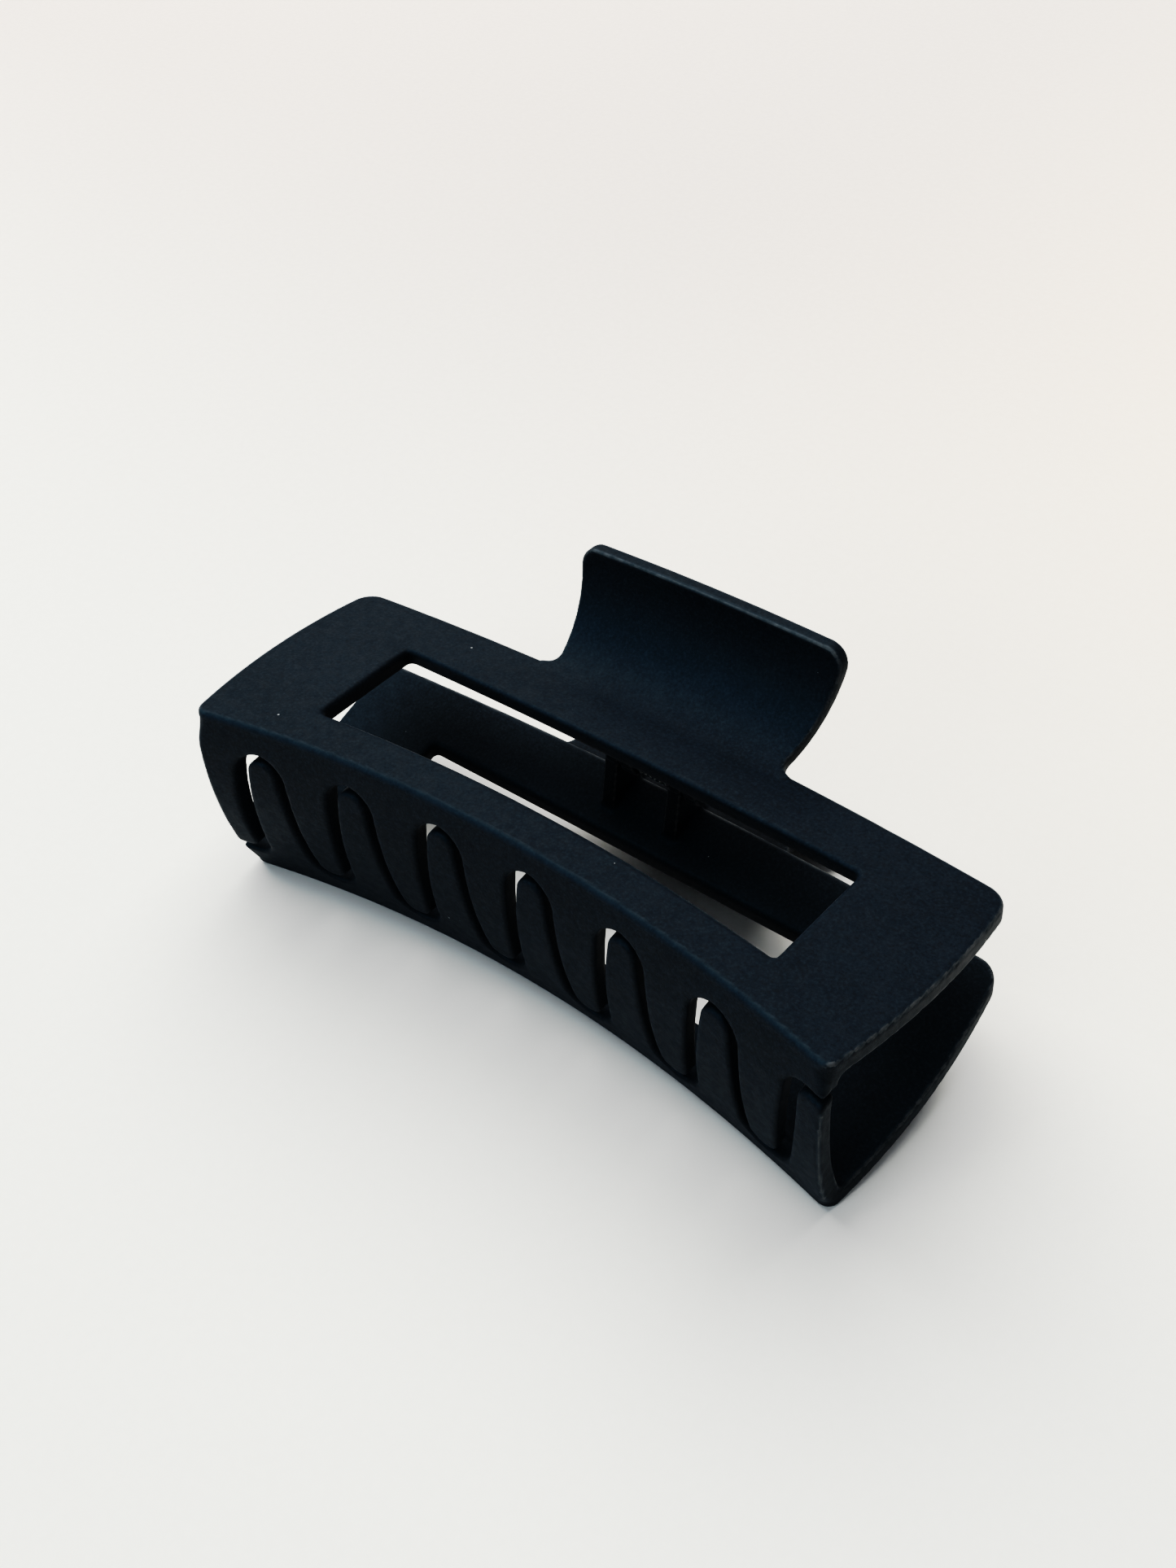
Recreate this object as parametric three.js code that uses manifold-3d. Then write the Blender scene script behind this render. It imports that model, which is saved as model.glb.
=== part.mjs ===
// Rectangular open-frame hair claw clip, drawn closed and lying on its lower jaw.
// Four separate bodies: two identical moulded jaws, a steel hinge pin and a torsion spring.
// Lengths are in millimetres. X runs along the clip, Y from the teeth to the handles.
import * as THREE from 'three';
import { mergeVertices } from 'three/addons/utils/BufferGeometryUtils.js';
import Module from 'manifold-3d';

const wasm = await Module();
wasm.setup();

// Driving dimensions, in the frame of the clip: the origin is on its middle plane, which
// is half way between the two plates, and the upper jaw is on the +Z side.
const HALF_LENGTH = 51.3;       // half length of the front bend
const END_BULGE = 3.1;          // how far each plate end bows out past the front bend
const PLATE_THICKNESS = 2.9;
const BACK_EDGE_Y = 16.55;      // back edge of the plate at mid length
const BACK_SWEEP = 2.0;         // how far the back edge comes forward at the ends
const BACK_CORNER = 3.3;        // rounding of the two back corners
const FRONT_CORNER = 2.0;       // rounding of the two front corners, at the bend
const CORNER_FADE = 5.0;        // depth below the bend where that rounding has run out
const BEND_Y = -15.4;           // where the flat of the plate ends and the bend starts
const BEND_Z = 16.35;           // height of the plate there, at mid length
const FRONT_SWEEP = 6.1;        // how far the bend goes forward at the ends
const BEND_RADIUS = 1.0;
const INNER_RADIUS = 1.2;
const PLATE_SLOPE = 0.189;      // fall of the plate per millimetre just behind the bend
const PLATE_CURVE = 0.00085;    // growth of that fall towards the back edge
const END_DROP = 0.97;          // arch of the plate: the ends lie this much lower
const WALL_BULGE = 1.9;         // barrel form of the closed tooth walls, at the middle plane
const TIP_THICKNESS = 2.4;

const WINDOW_BACK_Y = 6.5;
const WINDOW_BACK_SWEEP = 0.4;
const WINDOW_FRONT_Y = -9.6;
const WINDOW_FRONT_SWEEP = 2.5;
const WINDOW_HALF_BACK = 37.8;
const WINDOW_HALF_FRONT = 37.1;
const WINDOW_SKEW = 0.6;          // how far the front corners lie towards +X
const WINDOW_CORNER = 0.8;

const TOOTH_COUNT = 6;          // plain teeth per jaw, besides the wide end tooth
const TOOTH_PITCH = 15.13;
const TOOTH_OFFSET = 3.6;      // the row of one jaw is shifted by this from the middle
const TIP_Z = -11.2;            // end of a tooth at mid length
const TIP_TAPER = 0.3;            // how much a tooth narrows on each side by its tip
const TIP_ROUNDING = 1.9;
const END_SLOT_ROUNDING = 3.0;
const ROOT_Z = 12.4;           // top of the slots between the teeth, at mid length
const ROOT_START_Z = 8.2;       // where the sides of a slot turn into its rounded top

const HANDLE_START_Y = 14.15;
const HANDLE_LENGTH = 21.0;
const HANDLE_THICKNESS = 2.2;
const HANDLE_HALF_WIDTH = 18.3;
const HANDLE_ROOT_FILLET = 2.4;
const HANDLE_TIP_CORNER = 3.2;
const HANDLE_TURN = -0.196;     // slope of the handle where it leaves the plate
const HANDLE_BEND = 0.0931;     // how fast it turns up, in radians per millimetre
const HANDLE_BEND_FADE = 0.000685;
const HANDLE_FLARE = 0.234;     // growth of its half width per millimetre
const HANDLE_FLARE_FADE = 0.003;
const HANDLE_SINK = 0.1;        // the handle starts this far below the face of the plate

const PIN_Y = 15.0;
const PIN_RADIUS = 1.0;
const PIN_HALF_LENGTH = 9.0;
const PIN_CLEARANCE = 0.3;
const LUG_RADIUS = 2.7;
const LUG_THICKNESS = 2.3;
const LUG_GAP = 0.4;
const LUG_SLANT = 0.28;         // forward lean of the lug's front edge per unit height
const SPRING_SPACE = 3.0;       // half of the room between the inner lugs

const WIRE_RADIUS = 0.4;
const COIL_RADIUS = 1.75;
const COIL_HALF_LENGTH = 2.25;
const COIL_TURNS = 4;
const SPRING_CONTACT = 7.0;     // distance along the handle where a spring leg pushes

// Heights and edges of the jaw, upper jaw in its own place

function bendY(x) {
  return BEND_Y - FRONT_SWEEP * (x / HALF_LENGTH) ** 2;
}

function backY(x) {
  return BACK_EDGE_Y - BACK_SWEEP * (x / HALF_LENGTH) ** 2;
}

function archDrop(x) {
  return END_DROP * (x / HALF_LENGTH) ** 2;
}

function plateZ(x, y) {
  const behind = y - BEND_Y;
  return BEND_Z - PLATE_SLOPE * behind - PLATE_CURVE * behind ** 2 - archDrop(x);
}

function endX(y) {
  const depth = (y - bendY(HALF_LENGTH)) / (backY(HALF_LENGTH) - bendY(HALF_LENGTH));
  const along = Math.max(depth, 0) / 0.7;
  return HALF_LENGTH + END_BULGE * (2 * along - along ** 2);
}

// Mesh helpers

function solidOf(geometry) {
  const bare = geometry.clone();
  bare.deleteAttribute('normal');
  bare.deleteAttribute('uv');
  const merged = mergeVertices(bare, 1e-5);
  return new wasm.Manifold(new wasm.Mesh({
    numProp: 3,
    vertProperties: new Float32Array(merged.attributes.position.array),
    triVerts: new Uint32Array(merged.index.array),
  }));
}

function geometryOf(solid) {
  const mesh = solid.getMesh();
  const geometry = new THREE.BufferGeometry();
  geometry.setAttribute('position', new THREE.BufferAttribute(mesh.vertProperties, 3));
  geometry.setIndex(new THREE.BufferAttribute(mesh.triVerts, 1));
  return geometry;
}

// Closed slab between two matching grids of points.
function slabGeometry(outer, inner) {
  const rows = outer.length;
  const columns = outer[0].length;
  const points = [...outer.flat(), ...inner.flat()];
  const top = (i, j) => i * columns + j;
  const under = (i, j) => rows * columns + top(i, j);
  const faces = [];
  const quad = (a, b, c, d) => faces.push(a, b, c, a, c, d);
  for (let i = 0; i < rows - 1; i++) {
    for (let j = 0; j < columns - 1; j++) {
      quad(top(i, j), top(i + 1, j), top(i + 1, j + 1), top(i, j + 1));
      quad(under(i, j), under(i, j + 1), under(i + 1, j + 1), under(i + 1, j));
    }
    const last = columns - 1;
    quad(top(i, 0), under(i, 0), under(i + 1, 0), top(i + 1, 0));
    quad(top(i, last), top(i + 1, last), under(i + 1, last), under(i, last));
  }
  for (let j = 0; j < columns - 1; j++) {
    const end = rows - 1;
    quad(top(0, j), top(0, j + 1), under(0, j + 1), under(0, j));
    quad(top(end, j), under(end, j), under(end, j + 1), top(end, j + 1));
  }
  const geometry = new THREE.BufferGeometry();
  geometry.setAttribute('position', new THREE.Float32BufferAttribute(points.flat(), 3));
  geometry.setIndex(faces);
  return geometry;
}

function steps(count, from, to) {
  return Array.from({ length: count + 1 }, (_, i) => from + (to - from) * i / count);
}

// Prism standing on a plan outline drawn in X and Y.
function planPrism(shape, bottom, top) {
  const geometry = new THREE.ExtrudeGeometry(shape, {
    depth: top - bottom,
    bevelEnabled: false,
    curveSegments: 4,
  });
  geometry.translate(0, 0, bottom);
  return solidOf(geometry);
}

// Prism through the tooth wall, from an outline drawn in X and Z. It ends at prismBackY.
function wallPrism(shape, prismBackY) {
  const geometry = new THREE.ExtrudeGeometry(shape, {
    depth: 20,
    bevelEnabled: false,
    curveSegments: 6,
  });
  geometry.rotateX(Math.PI / 2);
  geometry.translate(0, prismBackY, 0);
  return solidOf(geometry);
}

// The bent sheet: plate, bend and tooth wall, cut every few millimetres along X

// How far the bend comes back near the two ends, which rounds the front corners.
function cornerInset(x) {
  const into = (Math.abs(x) - HALF_LENGTH + FRONT_CORNER) / FRONT_CORNER;
  const share = Math.min(Math.max(into, 0), 0.95);
  return FRONT_CORNER * (1 - Math.sqrt(1 - share ** 2));
}

function sectionOf(x) {
  const y0 = bendY(x);
  const z0 = plateZ(x, y0);
  const wallY = y0 - BEND_RADIUS;
  const bendEndZ = z0 - BEND_RADIUS;
  const faceY = (z) => wallY - WALL_BULGE * (1 - (z / bendEndZ) ** 2);
  const innerTop = z0 - PLATE_THICKNESS - INNER_RADIUS;
  const innerY = faceY(innerTop) + PLATE_THICKNESS + INNER_RADIUS;
  const innerZ = plateZ(x, innerY) - PLATE_THICKNESS - INNER_RADIUS;
  const outer = [];
  const inner = [];
  for (const t of steps(5, 0, 0.99)) {
    const backEnd = BACK_EDGE_Y + 2;
    const yOut = backEnd + (y0 - backEnd) * t;
    const yIn = backEnd + (innerY - backEnd) * t;
    outer.push([x, yOut, plateZ(x, yOut)]);
    inner.push([x, yIn, plateZ(x, yIn) - PLATE_THICKNESS]);
  }
  const inset = cornerInset(x);
  for (const turn of steps(4, 0, Math.PI / 2)) {
    const yBend = y0 + inset - BEND_RADIUS * Math.sin(turn);
    outer.push([x, yBend, bendEndZ + BEND_RADIUS * Math.cos(turn)]);
    inner.push([x, innerY - INNER_RADIUS * Math.sin(turn), innerZ + INNER_RADIUS * Math.cos(turn)]);
  }
  for (const t of steps(7, 0, 1).slice(1)) {
    const zOut = bendEndZ + (tipZ(x) - bendEndZ) * t;
    const zIn = innerZ + (tipZ(x) - innerZ) * t;
    const fade = Math.max(1 - (bendEndZ - zOut) / CORNER_FADE, 0);
    const thickness = PLATE_THICKNESS + (TIP_THICKNESS - PLATE_THICKNESS) * t;
    outer.push([x, faceY(zOut) + inset * fade, zOut]);
    inner.push([x, faceY(zIn) + thickness, zIn]);
  }
  return { outer, inner };
}

function bentSheet() {
  const reach = HALF_LENGTH + END_BULGE + 2;
  const cornerStart = HALF_LENGTH - FRONT_CORNER;
  const end = [reach, ...steps(4, HALF_LENGTH, cornerStart)];
  const middle = steps(24, cornerStart, -cornerStart).slice(1, -1);
  const sections = [...end, ...middle, ...end.map((x) => -x).reverse()].map(sectionOf);
  return solidOf(slabGeometry(sections.map((s) => s.outer), sections.map((s) => s.inner)));
}

// Outline of the whole plate seen from above, open towards the front.
function plateOutline() {
  const front = bendY(HALF_LENGTH) - BEND_RADIUS;
  const side = [];
  side.push([HALF_LENGTH, front - 10]);
  const cornerY = backY(HALF_LENGTH + END_BULGE);
  for (const y of steps(7, bendY(HALF_LENGTH) + 1, cornerY - BACK_CORNER)) side.push([endX(y), y]);
  const shape = new THREE.Shape();
  side.forEach(([x, y], i) => (i === 0 ? shape.moveTo(x, y) : shape.lineTo(x, y)));
  const cornerX = endX(cornerY);
  const backStart = cornerX - BACK_CORNER;
  shape.quadraticCurveTo(cornerX, cornerY, backStart, backY(backStart));
  for (const x of steps(16, backStart, -backStart).slice(1)) shape.lineTo(x, backY(x));
  const [mirrorX, mirrorY] = side[side.length - 1];
  shape.quadraticCurveTo(-cornerX, cornerY, -mirrorX, mirrorY);
  for (const [x, y] of side.slice(0, -1).reverse()) shape.lineTo(-x, y);
  return shape;
}

function windowOutline() {
  const backEdge = (x) => WINDOW_BACK_Y - WINDOW_BACK_SWEEP * (x / WINDOW_HALF_BACK) ** 2;
  const frontEdge = (x) => WINDOW_FRONT_Y - WINDOW_FRONT_SWEEP * (x / WINDOW_HALF_FRONT) ** 2;
  const rightX = WINDOW_HALF_FRONT + WINDOW_SKEW;
  const leftX = WINDOW_SKEW - WINDOW_HALF_FRONT;
  const backX = WINDOW_HALF_BACK;
  const c = WINDOW_CORNER;
  const shape = new THREE.Shape();
  const fronts = steps(14, leftX + c, rightX - c);
  const backs = steps(8, backX - c, -backX + c);
  shape.moveTo(fronts[0], frontEdge(fronts[0]));
  for (const x of fronts.slice(1)) shape.lineTo(x, frontEdge(x));
  shape.quadraticCurveTo(rightX, frontEdge(rightX), rightX, frontEdge(rightX) + c);
  shape.lineTo(backX, backEdge(backX) - c);
  shape.quadraticCurveTo(backX, backEdge(backX), backX - c, backEdge(backX));
  for (const x of backs.slice(1)) shape.lineTo(x, backEdge(x));
  shape.quadraticCurveTo(-backX, backEdge(backX), -backX, backEdge(backX) - c);
  shape.lineTo(leftX, frontEdge(leftX) + c);
  shape.quadraticCurveTo(leftX, frontEdge(leftX), leftX + c, frontEdge(leftX));
  return shape;
}

// Teeth of the upper jaw. Tooth 0 is the wide end tooth at the -X end.

function toothCentre(k) {
  return TOOTH_OFFSET + (k - (TOOTH_COUNT + 1) / 2) * TOOTH_PITCH;
}

function tipTaper(z) {
  return TIP_TAPER * Math.min(Math.max(z / TIP_Z, 0), 1) ** 2;
}

function toothLeft(k, z) {
  return toothCentre(k) - 3.0 - 0.04 * z + tipTaper(z);
}

function toothRight(k, z) {
  if (k === 0) return -47.0 + 0.1 * z + 0.006 * z ** 2;
  return toothCentre(k) + 3.1 + 0.095 * z - tipTaper(z);
}

// The teeth and slots follow the arch of the plates.
function tipZ(x) {
  return TIP_Z + archDrop(x);
}

function rootZ(x) {
  return ROOT_Z - archDrop(x);
}

// The empty space between tooth k and the next tooth, or the open end after the last one.
function slotOutline(k) {
  const below = TIP_Z - 4;
  const left = toothRight(k, ROOT_START_Z);
  const sideZ = tipZ(left) + TIP_ROUNDING;
  const tipRight = toothRight(k, sideZ);
  const flatRight = tipRight - TIP_ROUNDING;
  const shape = new THREE.Shape();
  shape.moveTo(flatRight, below);
  shape.lineTo(flatRight, tipZ(flatRight));
  shape.quadraticCurveTo(tipRight, tipZ(tipRight), tipRight, sideZ);
  for (const z of steps(5, sideZ, ROOT_START_Z).slice(1)) shape.lineTo(toothRight(k, z), z);
  if (k === TOOTH_COUNT) {
    const top = rootZ(HALF_LENGTH);
    shape.quadraticCurveTo(left, top, left + END_SLOT_ROUNDING, top);
    shape.lineTo(HALF_LENGTH + 6, top);
    shape.lineTo(HALF_LENGTH + 6, below);
    return shape;
  }
  const right = toothLeft(k + 1, ROOT_START_Z);
  const centre = (left + right) / 2;
  const halfWidth = (right - left) / 2;
  const top = rootZ(centre);
  for (const turn of steps(8, 0, Math.PI).slice(1)) {
    shape.lineTo(
      centre - halfWidth * Math.cos(turn),
      ROOT_START_Z + (top - ROOT_START_Z) * Math.sin(turn),
    );
  }
  const nextSideZ = tipZ(right) + TIP_ROUNDING;
  const tipLeft = toothLeft(k + 1, nextSideZ);
  const flatLeft = tipLeft + TIP_ROUNDING;
  for (const z of steps(4, ROOT_START_Z, nextSideZ).slice(1)) shape.lineTo(toothLeft(k + 1, z), z);
  shape.quadraticCurveTo(tipLeft, tipZ(tipLeft), flatLeft, tipZ(flatLeft));
  shape.lineTo(flatLeft, below);
  return shape;
}

// How far back a slot has to be cut to clear the inside of the wall and its inner bend.
function slotBackY(k) {
  const nearest = k === TOOTH_COUNT ? toothRight(k, 0) : Math.min(
    Math.abs(toothRight(k, 0)),
    Math.abs(toothLeft(k + 1, 0)),
  );
  return bendY(nearest) - BEND_RADIUS + PLATE_THICKNESS + INNER_RADIUS + 0.1;
}

// Handle: a curved tab that rises out of the back edge of the plate

function handleTurn(s) {
  return HANDLE_TURN + HANDLE_BEND * s - HANDLE_BEND_FADE * s ** 2;
}

function handlePoint(s) {
  const count = 40;
  let y = HANDLE_START_Y;
  let z = plateZ(0, HANDLE_START_Y) - HANDLE_SINK;
  for (let i = 0; i < count; i++) {
    const turn = handleTurn(s * (i + 0.5) / count);
    y += Math.cos(turn) * s / count;
    z += Math.sin(turn) * s / count;
  }
  return [y, z];
}

function handleHalfWidth(s) {
  const plain = HANDLE_HALF_WIDTH + HANDLE_FLARE * s - HANDLE_FLARE_FADE * s ** 2;
  const past = s - (BACK_EDGE_Y - HANDLE_START_Y);
  const toRootEnd = Math.min(Math.max(HANDLE_ROOT_FILLET - past, 0), HANDLE_ROOT_FILLET);
  const rootFlare = HANDLE_ROOT_FILLET - Math.sqrt(HANDLE_ROOT_FILLET ** 2 - toRootEnd ** 2);
  const intoTip = Math.max(s - HANDLE_LENGTH + HANDLE_TIP_CORNER, 0);
  const tipLoss = HANDLE_TIP_CORNER - Math.sqrt(HANDLE_TIP_CORNER ** 2 - intoTip ** 2);
  return plain + rootFlare - tipLoss;
}

function handleStations() {
  const rootEnd = BACK_EDGE_Y - HANDLE_START_Y;
  const fillet = steps(5, 0, Math.PI / 2);
  const root = fillet.map((a) => rootEnd + HANDLE_ROOT_FILLET * (1 - Math.cos(a)));
  const tip = fillet.map((a) => HANDLE_LENGTH - HANDLE_TIP_CORNER * (1 - Math.sin(a)));
  const middle = steps(7, root[root.length - 1], tip[0]).slice(1, -1);
  return [-1, ...root, ...middle, ...tip.slice(0, -1), HANDLE_LENGTH - 0.02];
}

function handle() {
  const rows = handleStations().map((s) => {
    const [y, z] = handlePoint(s);
    const turn = handleTurn(s);
    const halfWidth = handleHalfWidth(s);
    const fade = Math.max(1 - s / (HANDLE_LENGTH - 0.02), 0);
    const line = (offset) => steps(8, halfWidth, -halfWidth).map((x) => [
      x,
      y + offset * Math.sin(turn) - BACK_SWEEP * (x / HALF_LENGTH) ** 2 * fade,
      z - offset * Math.cos(turn) - archDrop(x) * fade,
    ]);
    return { outer: line(0), inner: line(HANDLE_THICKNESS) };
  });
  return solidOf(slabGeometry(rows.map((r) => r.outer), rows.map((r) => r.inner)));
}

// Hinge lugs: one outer lug on the +X side and one inner lug on the -X side

function lug(xMin) {
  const baseFront = PIN_Y - LUG_RADIUS - LUG_SLANT * 8;
  const baseBack = PIN_Y + LUG_RADIUS;
  const embed = 1.2 - PLATE_THICKNESS;
  const shape = new THREE.Shape();
  shape.moveTo(PIN_Y - LUG_RADIUS, 0);
  shape.absarc(PIN_Y, 0, LUG_RADIUS, Math.PI, 2 * Math.PI, false);
  shape.lineTo(baseBack, plateZ(0, baseBack) + embed);
  shape.lineTo(baseFront, plateZ(0, baseFront) + embed);
  const geometry = new THREE.ExtrudeGeometry(shape, {
    depth: LUG_THICKNESS,
    bevelEnabled: false,
    curveSegments: 12,
  });
  // The outline was drawn in X and Y: turn it into the plane of Y and Z.
  geometry.applyMatrix4(new THREE.Matrix4().set(
    0, 0, 1, xMin,
    1, 0, 0, 0,
    0, 1, 0, 0,
    0, 0, 0, 1,
  ));
  return solidOf(geometry);
}

function pinHole() {
  const radius = PIN_RADIUS + PIN_CLEARANCE;
  const geometry = new THREE.CylinderGeometry(radius, radius, 40, 24);
  geometry.rotateZ(Math.PI / 2);
  geometry.translate(0, PIN_Y, 0);
  return solidOf(geometry);
}

function jaw() {
  let solid = bentSheet().intersect(planPrism(plateOutline(), -40, 40));
  solid = solid.subtract(planPrism(windowOutline(), 5, 40));
  for (let k = 0; k <= TOOTH_COUNT; k++) {
    solid = solid.subtract(wallPrism(slotOutline(k), slotBackY(k)));
  }
  const outerLug = SPRING_SPACE + LUG_THICKNESS + LUG_GAP;
  solid = solid.add(handle());
  solid = solid.add(lug(outerLug));
  solid = solid.add(lug(-SPRING_SPACE - LUG_THICKNESS));
  return geometryOf(solid.subtract(pinHole()));
}

// Pin and spring

function hingePin() {
  const dome = 0.3;
  const profile = [
    new THREE.Vector2(0, -PIN_HALF_LENGTH),
    new THREE.Vector2(PIN_RADIUS - dome, -PIN_HALF_LENGTH),
    new THREE.Vector2(PIN_RADIUS, -PIN_HALF_LENGTH + dome),
    new THREE.Vector2(PIN_RADIUS, PIN_HALF_LENGTH - dome),
    new THREE.Vector2(PIN_RADIUS - dome, PIN_HALF_LENGTH),
    new THREE.Vector2(0, PIN_HALF_LENGTH),
  ];
  const geometry = new THREE.LatheGeometry(profile, 20);
  geometry.rotateZ(Math.PI / 2);
  geometry.translate(0, PIN_Y, 0);
  return geometryOf(solidOf(geometry));
}

// Middle line of the spring wire: leg, coil, leg. Half a turn about Y maps it on itself.
function springPath() {
  const [faceY, faceZ] = handlePoint(SPRING_CONTACT);
  const turn = handleTurn(SPRING_CONTACT);
  const inset = HANDLE_THICKNESS + WIRE_RADIUS + PIN_CLEARANCE;
  const legY = faceY + inset * Math.sin(turn) - PIN_Y;
  const legZ = faceZ - inset * Math.cos(turn);
  const reach = Math.hypot(legY, legZ);
  const leave = Math.atan2(legZ, legY) + Math.acos(COIL_RADIUS / reach);
  const legEnd = new THREE.Vector3(COIL_HALF_LENGTH, PIN_Y + legY, legZ);
  const points = [legEnd];
  const legStart = [COIL_RADIUS * Math.cos(leave), COIL_RADIUS * Math.sin(leave)];
  for (const t of [0.33, 0.66]) {
    points.push(new THREE.Vector3(
      COIL_HALF_LENGTH,
      PIN_Y + legY + (legStart[0] - legY) * t,
      legZ + (legStart[1] - legZ) * t,
    ));
  }
  const sweep = 2 * Math.PI * COIL_TURNS + 2 * (Math.PI - leave) + 2 * Math.PI;
  const coilSteps = Math.round(sweep / (Math.PI / 6));
  for (let i = 0; i <= coilSteps; i++) {
    const angle = leave + sweep * i / coilSteps;
    points.push(new THREE.Vector3(
      COIL_HALF_LENGTH * (1 - 2 * i / coilSteps),
      PIN_Y + COIL_RADIUS * Math.cos(angle),
      COIL_RADIUS * Math.sin(angle),
    ));
  }
  const mirrored = points.slice(0, 3).map((p) => new THREE.Vector3(-p.x, p.y, -p.z));
  return new THREE.CatmullRomCurve3([...points, ...mirrored.reverse()], false, 'centripetal');
}

function torsionSpring() {
  const wire = new THREE.Shape();
  wire.absarc(0, 0, WIRE_RADIUS, 0, 2 * Math.PI, false);
  const geometry = new THREE.ExtrudeGeometry(wire, {
    steps: 110,
    curveSegments: 4,
    bevelEnabled: false,
    extrudePath: springPath(),
  });
  return geometryOf(solidOf(geometry));
}

// Materials

function mattePlastic() {
  return new THREE.MeshStandardMaterial({ color: 0x14191f, roughness: 0.6, metalness: 0 });
}

function springSteel() {
  return new THREE.MeshStandardMaterial({ color: 0x8d9196, roughness: 0.35, metalness: 1 });
}

// Angle at which the closed clip lies on its front bend and on the tip of the lower handle.
function restTilt(jawGeometry) {
  const points = jawGeometry.attributes.position;
  let low = 0;
  let high = 0.4;
  for (let i = 0; i < 40; i++) {
    const tilt = (low + high) / 2;
    let frontLow = Infinity;
    let handleLow = Infinity;
    for (let k = 0; k < points.count; k++) {
      // The lower jaw is the upper one after half a turn about Y.
      const height = points.getY(k) * Math.sin(tilt) - points.getZ(k) * Math.cos(tilt);
      if (points.getY(k) < 0) frontLow = Math.min(frontLow, height);
      else handleLow = Math.min(handleLow, height);
    }
    if (handleLow < frontLow) low = tilt;
    else high = tilt;
  }
  return (low + high) / 2;
}

function named(name, geometry, material) {
  const mesh = new THREE.Mesh(geometry, material);
  mesh.name = name;
  return mesh;
}

function clawClip() {
  const jawGeometry = jaw();
  const upper = named('jaw_upper', jawGeometry, mattePlastic());
  const lower = named('jaw_lower', jawGeometry.clone(), mattePlastic());
  lower.rotation.y = Math.PI;
  const clip = new THREE.Group();
  clip.add(
    upper,
    lower,
    named('hinge_pin', hingePin(), springSteel()),
    named('torsion_spring', torsionSpring(), springSteel()),
  );
  clip.rotation.x = restTilt(jawGeometry);
  clip.updateMatrixWorld(true);
  const box = new THREE.Box3().setFromObject(clip, true);
  clip.position.y = -(box.min.y + box.max.y) / 2;
  clip.position.z = -box.min.z;
  const group = new THREE.Group();
  group.name = 'claw_clip';
  group.add(clip);
  return group;
}

export default clawClip();
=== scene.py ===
"""Looks of a large rectangular claw clip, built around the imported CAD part.

Both jaws are the same moulding. Its shape is written once, as a signed distance in the
clip's own frame, meshed, and used twice. The frame's pin gives the place of the hinge.
Lengths are in millimetres, unless a name ends in _M. Lamps, the floor and the textures
are in metres, as Blender has them.
"""

import math

import bpy
import numpy as np
from mathutils import Matrix, Vector


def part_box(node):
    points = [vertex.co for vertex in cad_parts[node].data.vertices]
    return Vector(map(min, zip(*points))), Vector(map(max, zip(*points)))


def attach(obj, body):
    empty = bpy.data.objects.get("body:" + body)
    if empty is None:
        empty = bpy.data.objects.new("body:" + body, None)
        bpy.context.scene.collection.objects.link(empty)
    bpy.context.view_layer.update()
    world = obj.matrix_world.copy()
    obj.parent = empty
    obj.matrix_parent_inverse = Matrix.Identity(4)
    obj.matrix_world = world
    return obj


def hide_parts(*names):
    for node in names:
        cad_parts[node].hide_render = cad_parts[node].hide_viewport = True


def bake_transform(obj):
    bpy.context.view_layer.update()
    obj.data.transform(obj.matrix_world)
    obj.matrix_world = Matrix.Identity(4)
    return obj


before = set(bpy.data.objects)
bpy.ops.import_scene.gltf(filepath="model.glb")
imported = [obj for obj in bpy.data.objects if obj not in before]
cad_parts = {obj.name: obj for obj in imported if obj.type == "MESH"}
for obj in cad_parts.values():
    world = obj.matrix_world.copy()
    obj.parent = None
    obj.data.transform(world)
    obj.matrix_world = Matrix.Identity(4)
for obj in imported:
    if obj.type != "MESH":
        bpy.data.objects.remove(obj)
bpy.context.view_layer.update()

MM = 0.001

# Moulding, in the clip's frame: X along the clip, Y towards the handles, Z up from the
# middle plane. The upper jaw is drawn in its own place.
HALF_LENGTH = 51.3              # half length of the front bend
END_BULGE = 3.1                 # how far each plate end bows out past the front bend
BULGE_PEAK = 0.7                # where it is widest, as a share of the way to the back
THICKNESS = 2.9
TIP_THICKNESS = 2.4             # of the tooth wall, by the ends of the teeth
BACK_EDGE_Y = 16.55             # at mid length
BACK_SWEEP = 2.0                # how far the back edge comes forward at the ends
BACK_CORNER = 2.8
FRONT_CORNER = 2.0              # at the bend, as seen from above
CORNER_FADE = 5.0               # height below the bend in which it gets sharp
BEND_Y = -15.4                  # where the flat of the plate ends, at mid length
BEND_Z = 16.35                  # height of the plate there
FRONT_SWEEP = 6.1               # how far the bend goes forward at the ends
BEND_RADIUS = 1.0
BEND_BLEND = 3.0                # width in which the bend's rounding becomes an edge's
INNER_RADIUS = 1.2
PLATE_SLOPE = 0.189             # fall of the plate per millimetre just behind the bend
PLATE_CURVE = 0.00085           # growth of that fall towards the back edge
END_DROP = 0.97                 # arch of the plate: the ends lie this much lower
WALL_BULGE = 1.9                # barrel form of the closed tooth walls
EDGE_ROUND = 0.5

WINDOW_BACK_Y = 6.5
WINDOW_BACK_SWEEP = 0.4
WINDOW_FRONT_Y = -9.6
WINDOW_FRONT_SWEEP = 2.5
WINDOW_HALF_BACK = 37.8
WINDOW_HALF_FRONT = 37.1
WINDOW_SKEW = 0.6               # how far its front corners lie towards +X
WINDOW_CORNER = 0.8
WINDOW_EDGE_ROUND = 0.8

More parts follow.
